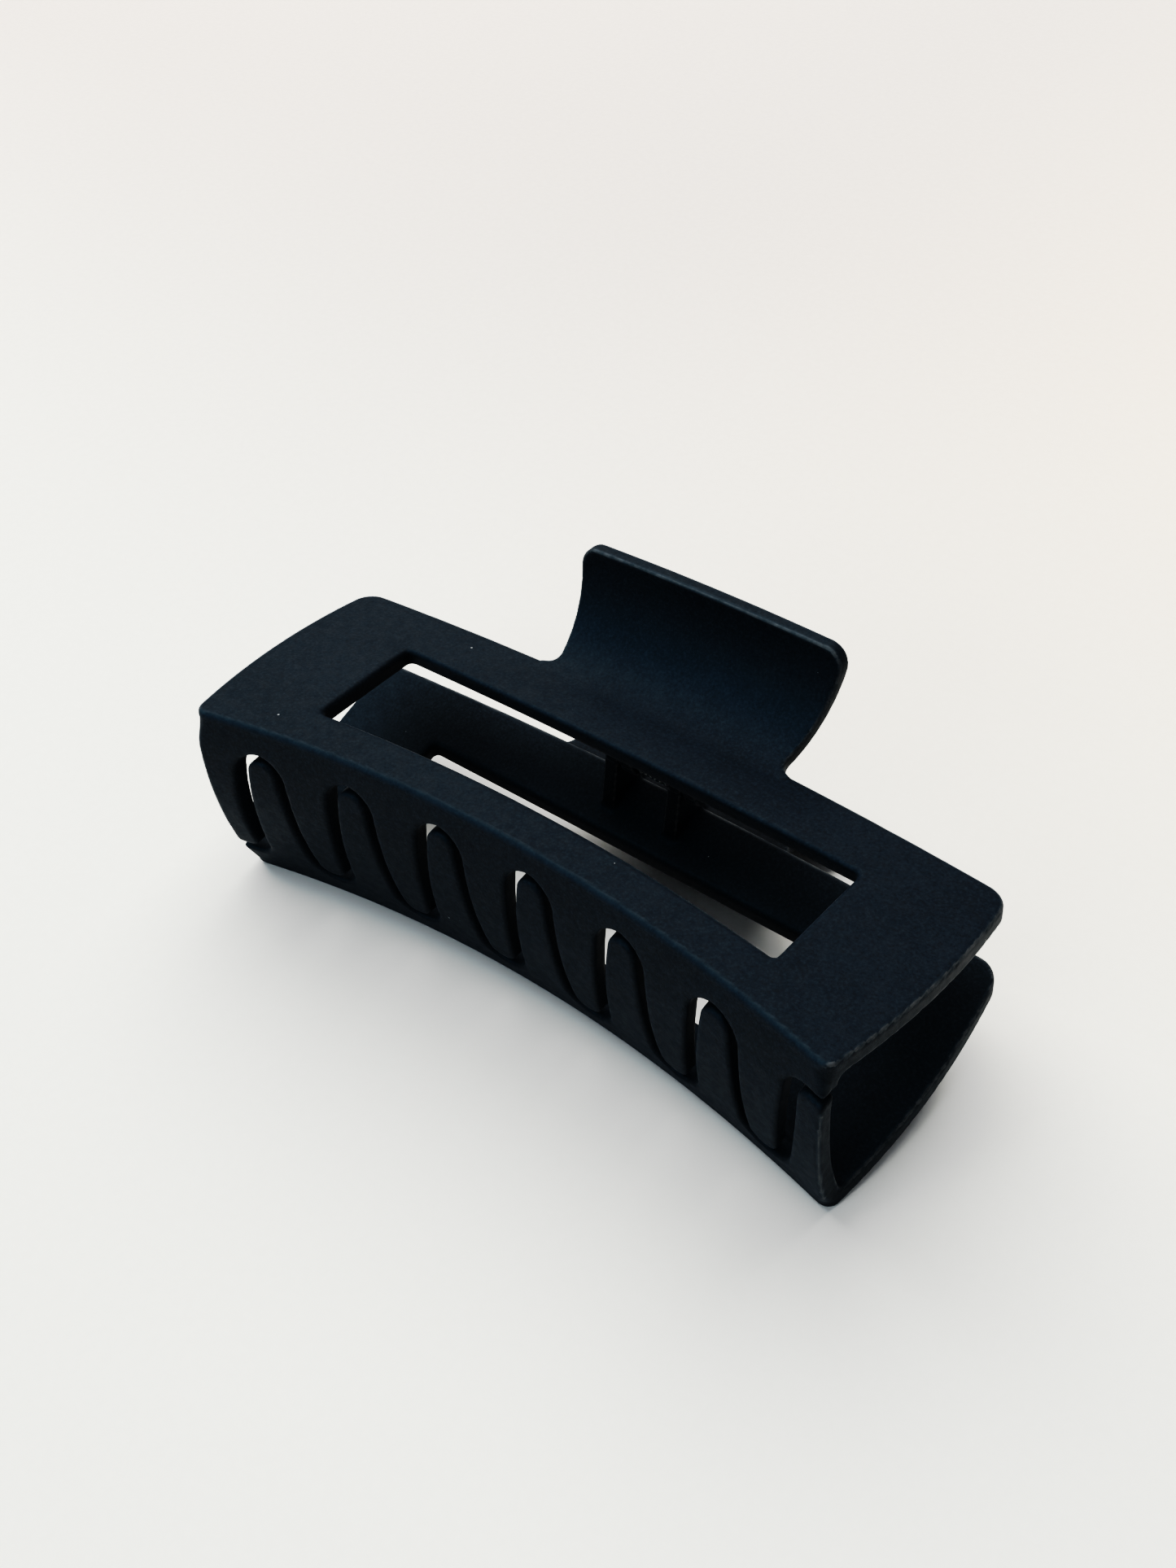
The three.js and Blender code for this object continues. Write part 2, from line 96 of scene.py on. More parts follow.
TOOTH_COUNT = 6                 # plain teeth, besides the wide end tooth
TOOTH_PITCH = 15.13
TOOTH_OFFSET = 3.6              # the row is shifted by this from the middle
TIP_Z = -11.2                   # end of a tooth at mid length
TIP_TAPER = 0.3                 # how much a tooth narrows on each side by its tip
TIP_ROUNDING = 1.9
TOOTH_LEFT = 3.0                # from a tooth's middle to its two sides, at the middle plane
TOOTH_RIGHT = 3.1
TOOTH_LEFT_SLANT = 0.04         # how fast the sides spread with height
TOOTH_RIGHT_SLANT = 0.095
END_TOOTH_X = -47.0             # inner side of the wide end tooth, at the middle plane
END_TOOTH_SLANT = 0.1
END_TOOTH_HOLLOW = 0.006        # curve of that side
ROOT_Z = 12.4                   # top of the slots between the teeth, at mid length
ROOT_ROUNDING = 4.0
END_SLOT_ROUNDING = 3.0

HANDLE_START_Y = 14.15
HANDLE_LENGTH = 21.0
HANDLE_THICKNESS = 2.2
HANDLE_HALF_WIDTH = 18.3
HANDLE_ROOT_FILLET = 2.4
HANDLE_TIP_CORNER = 3.2
HANDLE_TURN = -0.196            # slope of the handle where it leaves the plate
HANDLE_BEND = 0.0931            # how fast it turns up, in radians per millimetre
HANDLE_BEND_FADE = 0.000685
HANDLE_FLARE = 0.234            # growth of its half width, per millimetre
HANDLE_FLARE_FADE = 0.003
HANDLE_ROOT = 1.2               # how far it goes on inside the plate
PATH_START = -1.5               # its path is worked out from a little further in
PATH_POINTS = 260

PIN_Y = 15.0
PIN_RADIUS = 1.0
PIN_CLEARANCE = 0.3
PIN_RIM = 0.3                   # rounding of the pin's two ends
PIN_SIDES = 40
PIN_LENGTHS = 22                # rings along its plain length
LUG_RADIUS = 2.7
LUG_THICKNESS = 2.3
LUG_GAP = 0.4
LUG_SLANT = 0.28                # forward lean of the lug's front edge per unit height
LUG_EDGE_ROUND = 0.35
LUG_HOLE_ROUND = 0.2
LUG_FILLET = 0.8
SPRING_SPACE = 3.0              # half of the room between the inner lugs

WIRE_RADIUS = 0.4
WIRE_SIDES = 16
COIL_RADIUS = 1.75
COIL_HALF_LENGTH = 2.25
COIL_TURNS = 4
COIL_STEPS = 28                 # points for each turn
LEG_STEPS = 14
SPRING_CONTACT = 7.0            # distance along the handle where a spring leg pushes

REST_TILT = 0.104333            # the closed clip leans on its lower handle by this angle

CAMERA_AT_M = (0.101040, -0.120361, 0.174701)
CAMERA_TARGET_M = (-0.006380, 0.002240, 0.020000)
CAMERA_ROLL_DEG = -4.06
CAMERA_LENS = 36.867
CAMERA_FILM_HEIGHT = 36.0

FLOOR_REACH_M = 2.2
LAMP_TARGET_M = (0, 0, 0.02)

# Colours, linear, with their opacity
PLASTIC_DARK = (0.0029, 0.0064, 0.0102, 1)
PLASTIC_LIGHT = (0.0044, 0.0086, 0.0132, 1)
GRAIN_LIGHT = (0.0082, 0.0138, 0.0193, 1)
GRAIN_DARK = (0.0024, 0.0047, 0.0076, 1)
# Pale edge colours: wear on the edges, and a painted highlight along the bend crest and the other
# outer edges
WORN_EDGE_AND_HIGHLIGHT = (0.018, 0.026, 0.033, 1)
BARE_EDGE_AND_HIGHLIGHT = (0.070, 0.074, 0.076, 1)
DUST = (0.32, 0.33, 0.33, 1)
SHEEN = (0.60, 0.80, 1.0, 1)
PIN_DARK = (0.50, 0.50, 0.49, 1)
PIN_LIGHT = (0.63, 0.63, 0.62, 1)
SPRING_DARK = (0.42, 0.42, 0.42, 1)
SPRING_LIGHT = (0.58, 0.57, 0.56, 1)
PAPER_NEAR = (0.842, 0.842, 0.806, 1)
# Far paper tones are painted shade and light: greyer and darker at the far left, warmer and
# brighter at the far right
PAPER_FAR_LEFT_PAINTED_SHADE = (0.732, 0.688, 0.646, 1)
PAPER_FAR_RIGHT_PAINTED_LIGHT = (0.970, 0.900, 0.790, 1)
PAPER_PATCH = (0.9, 0.9, 0.88, 1)
PAPER_FIBRE = (0.97, 0.965, 0.945, 1)

EDGE_ATTRIBUTE = "edge_amount"
# Brightness before and after printing, at a few places
PICTURE_CURVE = ((0.02, 0.0125), (0.09, 0.19), (0.2, 0.47), (0.4, 0.63), (0.75, 0.85))

VOXEL = 0.38
BLOCK = 4                       # voxels along a side of a block that is sampled as a whole
GRID_LOW = (-57, -27, -13)      # the moulding lies inside these two corners
GRID_HIGH = (57, 34, 24)


def round_max(a, b, radius):
    """Intersection of two solids given by distances, with its edge rounded off."""
    u, v = a + radius, b + radius
    outside = np.hypot(np.maximum(u, 0), np.maximum(v, 0))
    return outside + np.minimum(np.maximum(u, v), 0) - radius


def smooth_min(a, b, width):
    """Union of two solids, with a fillet of about that width in the corner."""
    h = np.maximum(width - np.abs(a - b), 0) / width
    return np.minimum(a, b) - h * h * width / 4


def bend_y(x):
    return BEND_Y - FRONT_SWEEP * (x / HALF_LENGTH) ** 2


def arch_drop(x):
    return END_DROP * (x / HALF_LENGTH) ** 2


def plate_z(x, y):
    behind = y - BEND_Y
    return BEND_Z - PLATE_SLOPE * behind - PLATE_CURVE * behind**2 - arch_drop(x)


def plan_distance(x, y):
    """Outside distance of the plate's outline, seen from above."""
    front = BEND_Y - FRONT_SWEEP
    corner_y = BACK_EDGE_Y - BACK_SWEEP
    along = np.maximum((y - front) / (corner_y - front), 0) / BULGE_PEAK
    end_x = HALF_LENGTH + END_BULGE * (2 * along - along**2)
    back_y = BACK_EDGE_Y - BACK_SWEEP * (x / HALF_LENGTH) ** 2
    return round_max(np.abs(x) - end_x, y - back_y, BACK_CORNER)


def window_distance(x, y):
    """Negative inside the window of the plate."""
    back_y = WINDOW_BACK_Y - WINDOW_BACK_SWEEP * (x / WINDOW_HALF_BACK) ** 2
    front_y = WINDOW_FRONT_Y - WINDOW_FRONT_SWEEP * (x / WINDOW_HALF_FRONT) ** 2
    share = np.clip((y - front_y) / (back_y - front_y), 0, 1)
    side_x = WINDOW_HALF_FRONT + (WINDOW_HALF_BACK - WINDOW_HALF_FRONT) * share
    sideways = np.abs(x - WINDOW_SKEW * (1 - share)) - side_x
    lengthways = np.maximum(y - back_y, front_y - y)
    return round_max(sideways, lengthways, WINDOW_CORNER)


def tooth_centre(k):
    return TOOTH_OFFSET + (k - (TOOTH_COUNT + 1) / 2) * TOOTH_PITCH


def tip_taper(z):
    return TIP_TAPER * np.clip(z / TIP_Z, 0, 1) ** 2


def tooth_left(k, z):
    return tooth_centre(k) - TOOTH_LEFT - TOOTH_LEFT_SLANT * z + tip_taper(z)


def tooth_right(k, z):
    if k == 0:
        return END_TOOTH_X + END_TOOTH_SLANT * z + END_TOOTH_HOLLOW * z**2
    return tooth_centre(k) + TOOTH_RIGHT + TOOTH_RIGHT_SLANT * z - tip_taper(z)


def teeth_distance(x, z):
    """Outside distance of the row of teeth and the band above it, seen from the front."""
    drop = arch_drop(x)
    to_tip = TIP_Z + drop - z
    over_root = z - (ROOT_Z - drop)
    teeth = round_max(x - tooth_right(0, z), to_tip, TIP_ROUNDING)
    for k in range(1, TOOTH_COUNT + 1):
        sides = np.maximum(tooth_left(k, z) - x, x - tooth_right(k, z))
        teeth = np.minimum(teeth, round_max(sides, to_tip, TIP_ROUNDING))
    band = -round_max(tooth_right(TOOTH_COUNT, z) - x, over_root, END_SLOT_ROUNDING)
    for k in range(TOOTH_COUNT):
        sides = np.maximum(tooth_right(k, z) - x, x - tooth_left(k + 1, z))
        band = np.maximum(band, -round_max(sides, over_root, ROOT_ROUNDING))
    return np.where(z > 0, band, teeth)


def sheet_distance(x, y, z):
    """Plate, bend and tooth wall: one bent sheet with its outline, window and slots."""
    bend_end_z = BEND_Z - BEND_RADIUS
    wall_y = bend_y(x) - BEND_RADIUS - WALL_BULGE * (1 - np.clip(z / bend_end_z, -1, 1) ** 2)
    slope = 2 * FRONT_SWEEP * x / HALF_LENGTH**2
    front = (wall_y - y) / np.sqrt(1 + slope**2)
    # Ahead of the bend the plate keeps the height it has at the bend.
    top = (z - plate_z(x, np.maximum(y, bend_y(x)))) * math.cos(PLATE_SLOPE)
    down = np.clip((bend_end_z - z) / (bend_end_z - TIP_Z), 0, 1)
    wall_thickness = THICKNESS + (TIP_THICKNESS - THICKNESS) * down
    below = np.clip((bend_end_z - z) / CORNER_FADE, 0, 1)
    corner = FRONT_CORNER + (EDGE_ROUND - FRONT_CORNER) * below * below * (3 - 2 * below)
    outline = plan_distance(x, y)
    at_front = np.clip((front - outline) / BEND_BLEND + 0.5, 0, 1)
    top_radius = EDGE_ROUND + (BEND_RADIUS - EDGE_ROUND) * at_front
    outer = round_max(top, round_max(outline, front, corner), top_radius)
    inner = round_max(top + THICKNESS, front + wall_thickness, INNER_RADIUS)
    solid = round_max(outer, -inner, EDGE_ROUND)
    solid = round_max(solid, -window_distance(x, y), WINDOW_EDGE_ROUND)
    slot_back = bend_y(x) - BEND_RADIUS + THICKNESS + INNER_RADIUS
    cut = np.maximum(-teeth_distance(x, z), y - slot_back)
    return round_max(solid, -cut, EDGE_ROUND)


def handle_turn(s):
    return HANDLE_TURN + HANDLE_BEND * s - HANDLE_BEND_FADE * s**2


def handle_path():
    """Points of the handle's outer face in the middle, with their distance along it."""
    s = np.linspace(PATH_START, HANDLE_LENGTH, PATH_POINTS)
    turn = handle_turn(np.maximum(s, 0))
    step = np.diff(s)
    middle = (turn[1:] + turn[:-1]) / 2
    y = np.concatenate([[0], np.cumsum(np.cos(middle) * step)])
    z = np.concatenate([[0], np.cumsum(np.sin(middle) * step)])
    start = np.searchsorted(s, 0)
    y += HANDLE_START_Y - y[start]
    z += plate_z(0, HANDLE_START_Y) - z[start]
    return s, y, z, turn


PATH_S, PATH_Y, PATH_Z, PATH_TURN = handle_path()


def handle_distance(x, y, z):
    """The handle: a curved tab with flared root corners and rounded tip corners."""
    sweep = BACK_SWEEP * (x / HALF_LENGTH) ** 2
    level_y = y + sweep
    level_z = z + arch_drop(x)
    nearest = np.empty(x.shape, int)
    chunk = 20000
    for i in range(0, len(x), chunk):
        part = slice(i, i + chunk)
        away = (level_y[part, None] - PATH_Y) ** 2 + (level_z[part, None] - PATH_Z) ** 2
        nearest[part] = away.argmin(1)
    turn = PATH_TURN[nearest]
    off_y = level_y - PATH_Y[nearest]
    off_z = level_z - PATH_Z[nearest]
    s = PATH_S[nearest] + off_y * np.cos(turn) + off_z * np.sin(turn)
    above = off_z * np.cos(turn) - off_y * np.sin(turn)
    root_end = BACK_EDGE_Y - HANDLE_START_Y
    to_root_end = np.clip(HANDLE_ROOT_FILLET - (s - root_end), 0, HANDLE_ROOT_FILLET)
    tiny = 1e-9
    flare = HANDLE_ROOT_FILLET - np.sqrt(HANDLE_ROOT_FILLET**2 - to_root_end**2 + tiny)
    half_width = HANDLE_HALF_WIDTH + HANDLE_FLARE * s - HANDLE_FLARE_FADE * s**2 + flare
    outline = round_max(np.abs(x) - half_width, s - HANDLE_LENGTH, HANDLE_TIP_CORNER)
    outline = np.maximum(outline, -HANDLE_ROOT - s)
    sheet = np.abs(above + HANDLE_THICKNESS / 2) - HANDLE_THICKNESS / 2
    return round_max(sheet, outline, EDGE_ROUND)


def lug_distance(x, y, z, x_low):
    """A hinge lug: a tapered ear that ends round the pin."""
    lean = math.atan(LUG_SLANT)
    ahead = -(y - PIN_Y) * math.cos(lean) - z * math.sin(lean) - LUG_RADIUS
    behind = y - PIN_Y - LUG_RADIUS
    top = z - plate_z(0, y) + THICKNESS / 2
    trunk = np.maximum(np.maximum(ahead, behind), np.maximum(top, -z))
    ear = np.minimum(trunk, np.hypot(y - PIN_Y, z) - LUG_RADIUS)
    width = np.abs(x - x_low - LUG_THICKNESS / 2) - LUG_THICKNESS / 2
    solid = round_max(ear, width, LUG_EDGE_ROUND)
    hole = np.hypot(y - PIN_Y, z) - PIN_RADIUS - PIN_CLEARANCE
    return round_max(solid, -hole, LUG_HOLE_ROUND)


def jaw_distance(points):
    """Signed distance of the whole moulding at points of shape (n, 3)."""
    x, y, z = points[:, 0], points[:, 1], points[:, 2]
    result = sheet_distance(x, y, z)
    # The handle and the lugs lie in this corner of space, and are slow to work out.
    near = (np.abs(x) < 26) & (y > 7) & (z > -4)
    if near.any():
        xn, yn, zn = x[near], y[near], z[near]
        part = np.minimum(result[near], handle_distance(xn, yn, zn))
        for x_low in (SPRING_SPACE + LUG_THICKNESS + LUG_GAP, -SPRING_SPACE - LUG_THICKNESS):
            part = smooth_min(part, lug_distance(xn, yn, zn, x_low), LUG_FILLET)
        result[near] = part
    return result


def lattice(axes):
    """All points with their coordinates on three axes."""
    return np.stack(np.meshgrid(*axes, indexing="ij"), -1).reshape(-1, 3)


def sample(low, high, step, distance):
    """The distance on a grid. Far from the surface a coarse value stands in for it."""
    spans = [np.arange(a, b + step, step) for a, b in zip(low, high)]
    counts = [(len(span) - 1) // BLOCK + 1 for span in spans]
    axes = [a + step * np.arange(n * BLOCK) for a, n in zip(low, counts)]
    middle_step = (BLOCK - 1) / 2
    middle = [a + step * (BLOCK * np.arange(n) + middle_step) for a, n in zip(low, counts)]
    coarse = distance(lattice(middle))
    # A block's corners are 0.87 of its side from its middle: 1.3 leaves room for error.
    close = np.abs(coarse) < step * BLOCK * 1.3
    field = np.repeat(coarse.reshape(counts), BLOCK, 0)
    field = np.repeat(np.repeat(field, BLOCK, 1), BLOCK, 2)
    cells = np.stack(np.unravel_index(np.flatnonzero(close), counts), -1) * BLOCK
    index = (cells[:, None, :] + lattice([np.arange(BLOCK)] * 3)).reshape(-1, 3)
    points = np.stack([axes[i][index[:, i]] for i in range(3)], -1)
    field[index[:, 0], index[:, 1], index[:, 2]] = distance(points)
    return axes, field


def window_of(start, shape):
    """The part of a grid of that shape which starts at a corner."""
    return tuple(slice(s, s + n) for s, n in zip(start, shape))


def cell_points(field, mixed):
    """For each mixed cell, the mean of the places where its edges cross the surface."""
    sum_at = np.zeros((*mixed.shape, 3))
    crossings = np.zeros(mixed.shape)
    for axis, unit in enumerate(np.eye(3, dtype=int)):
        others = [i for i in range(3) if i != axis]
        for offset in np.ndindex(2, 2):
            start = np.zeros(3, int)
            start[others] = offset
            a = field[window_of(start, mixed.shape)]
            b = field[window_of(start + unit, mixed.shape)]
            crossed = mixed & ((a < 0) != (b < 0))
            share = np.where(crossed, a / np.where(crossed, a - b, 1), 0)
            crossings += crossed
            for i in range(3):
                sum_at[..., i] += np.where(crossed, start[i] + unit[i] * share, 0)
    return np.argwhere(mixed) + sum_at[mixed] / crossings[mixed][:, None]


def cell_quads(inside, number):
    """A quad round each grid edge that crosses the surface, between its four cells."""
    quads = []
    for axis in range(3):
        u, v = [(1, 2), (2, 0), (0, 1)][axis]
        low = [slice(1, n) for n in number.shape]
        low[axis] = slice(0, number.shape[axis])
        high = list(low)
        high[axis] = slice(1, number.shape[axis] + 1)
        a, b = inside[tuple(low)], inside[tuple(high)]
        for begin, flip in ((a & ~b, False), (~a & b, True)):
            at = np.argwhere(begin) + np.array([s.start for s in low])
            ring = []
            for du, dv in ((0, 0), (1, 0), (1, 1), (0, 1)):
                cell = at.copy()
                cell[:, u] -= du
                cell[:, v] -= dv
                ring.append(number[cell[:, 0], cell[:, 1], cell[:, 2]])
            quad = np.stack(ring, -1)
            quads.append(quad[:, ::-1] if flip else quad)
    return np.concatenate(quads)


def surface_nets(axes, field, step):
    """Points and quads of the zero surface of a sampled distance."""
    inside = field < 0
    shape = np.array(field.shape) - 1
    total = np.zeros(shape, int)
    for corner in np.ndindex(2, 2, 2):
        total += inside[window_of(corner, shape)]
    mixed = (total > 0) & (total < 8)
    number = np.full(shape, -1)
    number[mixed] = np.arange(mixed.sum())
    origin = np.array([axis[0] for axis in axes])
    return origin + cell_points(field, mixed) * step, cell_quads(inside, number)


def gradient(points, distance, reach=0.02):
    """Slope of a distance at points, by central differences."""
    slope = np.empty_like(points)
    for i in range(3):
        shift = np.zeros(3)
        shift[i] = reach
        slope[:, i] = (distance(points + shift) - distance(points - shift)) / (2 * reach)
    return slope


def settle(points, distance, rounds=3):
    """Moves points straight onto the zero surface."""
    least_square = 0.25
    for _ in range(rounds):
        slope = gradient(points, distance)
        square = np.maximum((slope**2).sum(1), least_square)
        move = distance(points) / square
        points = points - np.clip(move, -VOXEL / 2, VOXEL / 2)[:, None] * slope
    return points


def to_world(points):
    """From the clip's frame in millimetres to the row frame in metres."""
    pin_low, pin_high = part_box("hinge_pin")
    pin = (np.array(pin_low) + np.array(pin_high)) / 2
    c, s = math.cos(REST_TILT), math.sin(REST_TILT)
    turn = np.array([[1, 0, 0], [0, c, -s], [0, s, c]])
    return (points - np.array([0, PIN_Y, 0])) @ turn.T * MM + pin


def half_turn(points):
    """The place of the lower jaw: the upper one turned about the clip's own length axis Y."""
    return points * np.array([-1, 1, -1])


def make_mesh_object(name, points, faces):
    mesh = bpy.data.meshes.new(name)
    mesh.from_pydata(points.tolist(), [], faces)
    mesh.polygons.foreach_set("use_smooth", np.ones(len(mesh.polygons), bool))
    obj = bpy.data.objects.new(name, mesh)
    bpy.context.scene.collection.objects.link(obj)
    return obj


def edge_amount(points):
    """How far a place is a rounded outer edge, from 0 to 1. It carries the wear and the painted
    highlight of the edges; edges of slots and windows get little of it, as they lie in shade.
    """
    reach = 0.3
    far = 9
    bend = np.zeros(len(points))
    for i in range(3):
        shift = np.zeros(3)
        shift[i] = reach
        bend += jaw_distance(points + shift) + jaw_distance(points - shift)
    bend -= 6 * jaw_distance(points)
    x, y, z = points.T
    slots = np.where(y < bend_y(x) + THICKNESS, np.abs(teeth_distance(x, z)), far)
    openings = np.minimum(slots, np.where(z > 0, np.abs(window_distance(x, y)), far))
    return np.clip(bend / reach**2 * EDGE_ROUND, 0, 1) * np.clip(openings - 0.5, 0.08, 1)


def make_jaws(material):
    axes, field = sample(GRID_LOW, GRID_HIGH, VOXEL, jaw_distance)
    points, quads = surface_nets(axes, field, VOXEL)
    points = settle(points, jaw_distance)
    edge = edge_amount(points).astype(np.float32)
    upper = make_mesh_object("upper_jaw_moulding", to_world(points), quads.tolist())
    lower = make_mesh_object("lower_jaw_moulding", to_world(half_turn(points)), quads.tolist())
    for obj in (upper, lower):
        obj.data.attributes.new(EDGE_ATTRIBUTE, "FLOAT", "POINT").data.foreach_set("value", edge)
        obj.data.materials.append(material)
    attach(upper, "upper_half")
    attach(lower, "lower_half")
    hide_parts("jaw_upper")
    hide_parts("jaw_lower")


def ring_faces(rings, sides):
    """Quads between neighbouring rings of points, and a cap on each end, all facing outwards.

    The points of a ring run anticlockwise, seen from the last ring.
    """
    faces = []
    for i in range(rings - 1):
        for j in range(sides):
            a, b = i * sides + j, i * sides + (j + 1) % sides
            faces.append((a, b, b + sides, a + sides))
    faces.append(tuple(range(sides))[::-1])
    faces.append(tuple(range((rings - 1) * sides, rings * sides)))
    return faces


def tube(path, radius, sides, cap_rings=4):
    """Points and faces of a round wire along a path, with domed ends."""
    tangent = np.gradient(path, axis=0)
    tangent /= np.linalg.norm(tangent, axis=1)[:, None]
    side = np.cross(tangent[0], [1.0, 0.0, 0.0])
    stations = []
    for here, along in zip(path, tangent):
        side = side - along * side.dot(along)
        side /= np.linalg.norm(side)
        stations.append((here, along, side.copy(), radius))
    dome = np.linspace(0, math.pi / 2, cap_rings + 1)[1:]
    lift = np.sin(dome) * radius
    smallest_ring = 0.02
    thin = np.maximum(np.cos(dome), smallest_ring) * radius
    first, last = stations[0], stations[-1]
    start_cap = [(first[0] - first[1] * h, first[1], first[2], r) for h, r in zip(lift, thin)]
    end_cap = [(last[0] + last[1] * h, last[1], last[2], r) for h, r in zip(lift, thin)]
    stations = start_cap[::-1] + stations + end_cap
    turn = np.linspace(0, 2 * math.pi, sides, endpoint=False)[:, None]
    rings = [p + r * (np.cos(turn) * s + np.sin(turn) * np.cross(t, s)) for p, t, s, r in stations]
    return np.concatenate(rings), ring_faces(len(rings), sides)


def spring_path():
    """Middle line of the spring wire: leg, coil, leg. Half a turn about Y maps it on itself."""
    at = np.searchsorted(PATH_S, SPRING_CONTACT)
    turn = PATH_TURN[at]
    inset = HANDLE_THICKNESS + WIRE_RADIUS + PIN_CLEARANCE
    leg_y = PATH_Y[at] + inset * math.sin(turn) - PIN_Y
    leg_z = PATH_Z[at] - inset * math.cos(turn)
    leave = math.atan2(leg_z, leg_y) + math.acos(COIL_RADIUS / math.hypot(leg_y, leg_z))
    sweep = 2 * math.pi * (COIL_TURNS + 1) + 2 * (math.pi - leave)
    angle = leave + np.linspace(0, sweep, COIL_STEPS * (COIL_TURNS + 1))
    coil_x = np.linspace(COIL_HALF_LENGTH, -COIL_HALF_LENGTH, len(angle))
    coil = np.stack([coil_x, COIL_RADIUS * np.cos(angle), COIL_RADIUS * np.sin(angle)], -1)
    leg_end = np.array([COIL_HALF_LENGTH, leg_y, leg_z])
    share = np.linspace(0, 1, LEG_STEPS, endpoint=False)[:, None]
    leg = leg_end + (coil[0] - leg_end) * share
    path = np.concatenate([leg, coil, half_turn(leg)[::-1]])
    return path + np.array([0, PIN_Y, 0])


def make_spring(material):
    points, faces = tube(spring_path(), WIRE_RADIUS, WIRE_SIDES)
    spring = make_mesh_object("torsion_spring_wire", to_world(points), faces)
    spring.data.materials.append(material)
    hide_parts("torsion_spring")
    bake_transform(spring)


def make_pin(material):
    """The hinge pin: a drawn rod with rounded rims at its two sheared ends."""
    low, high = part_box("hinge_pin")
    plain = (high.x - low.x) / 2 / MM - PIN_RIM
    arc = np.linspace(math.pi / 2, 0, 6)
    rim_x = plain + PIN_RIM * np.sin(arc)
    rim_radius = PIN_RADIUS - PIN_RIM + PIN_RIM * np.cos(arc)
    plain_x = np.linspace(-plain, plain, PIN_LENGTHS + 2)[1:-1]
    along = np.concatenate([-rim_x, plain_x, rim_x[::-1]])
    radii = np.concatenate([rim_radius, np.full(PIN_LENGTHS, PIN_RADIUS), rim_radius[::-1]])
    turn = np.linspace(0, 2 * math.pi, PIN_SIDES, endpoint=False)
    x = np.repeat(along, PIN_SIDES)
    y = PIN_Y + np.outer(radii, np.cos(turn)).ravel()
    z = np.outer(radii, np.sin(turn)).ravel()
    faces = ring_faces(len(along), PIN_SIDES)
    pin = make_mesh_object("hinge_pin_rod", to_world(np.stack([x, y, z], -1)), faces)
    pin.data.materials.append(material)
    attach(pin, "lower_half")
    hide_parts("hinge_pin")


class Nodes:
    """Short names for building a node tree."""

    def __init__(self, name):
        self.material = bpy.data.materials.new(name)
        self.material.use_nodes = True
        self.tree = self.material.node_tree
        self.tree.nodes.clear()
        self.coordinates = self.add("ShaderNodeTexCoord").outputs["Object"]

    def add(self, kind, **settings):
        node = self.tree.nodes.new(kind)
        for key, value in settings.items():
            setattr(node, key, value)
        return node

    def put(self, socket, value):
        if isinstance(value, bpy.types.NodeSocket):
            self.tree.links.new(value, socket)
        else:
            socket.default_value = value

    def noise(self, scale, detail=3.0, roughness=0.5):
        node = self.add("ShaderNodeTexNoise")
        self.put(node.inputs["Vector"], self.coordinates)
        self.put(node.inputs["Scale"], scale)
        self.put(node.inputs["Detail"], detail)
        self.put(node.inputs["Roughness"], roughness)
        return node.outputs["Fac"]

    def spots(self, scale):
        """Distance to the nearest of scattered points, and a random colour for each."""
        node = self.add("ShaderNodeTexVoronoi")
        self.put(node.inputs["Vector"], self.coordinates)
        self.put(node.inputs["Scale"], scale)
        return node.outputs["Distance"], node.outputs["Color"]

    def remap(self, value, low, high, to_low=0.0, to_high=1.0):
        node = self.add("ShaderNodeMapRange")
        node.interpolation_type = "SMOOTHSTEP"
        for socket, number in zip(node.inputs, (value, low, high, to_low, to_high)):
            self.put(socket, number)
        return node.outputs[0]

    def math(self, operation, a, b=0.0):
        node = self.add("ShaderNodeMath", operation=operation)
        self.put(node.inputs[0], a)
        self.put(node.inputs[1], b)
        return node.outputs[0]

    def mix(self, share, a, b):
        node = self.add("ShaderNodeMix", data_type="RGBA")
        self.put(node.inputs["Factor"], share)
        self.put(node.inputs[6], a)
        self.put(node.inputs[7], b)
        return node.outputs[2]

    def attribute(self, name):
        return self.add("ShaderNodeAttribute", attribute_name=name).outputs["Fac"]

    def bump(self, height, distance, strength=1.0, below=None):
        node = self.add("ShaderNodeBump")
        self.put(node.inputs["Height"], height)
        self.put(node.inputs["Distance"], distance)
        self.put(node.inputs["Strength"], strength)
        if below is not None:
            self.put(node.inputs["Normal"], below)
        return node.outputs["Normal"]

    def surface(self, **values):
        shader = self.add("ShaderNodeBsdfPrincipled")
        for key, value in values.items():
            self.put(shader.inputs[key.replace("_", " ")], value)
        output = self.add("ShaderNodeOutputMaterial")
        self.tree.links.new(shader.outputs["BSDF"], output.inputs["Surface"])
        return self.material


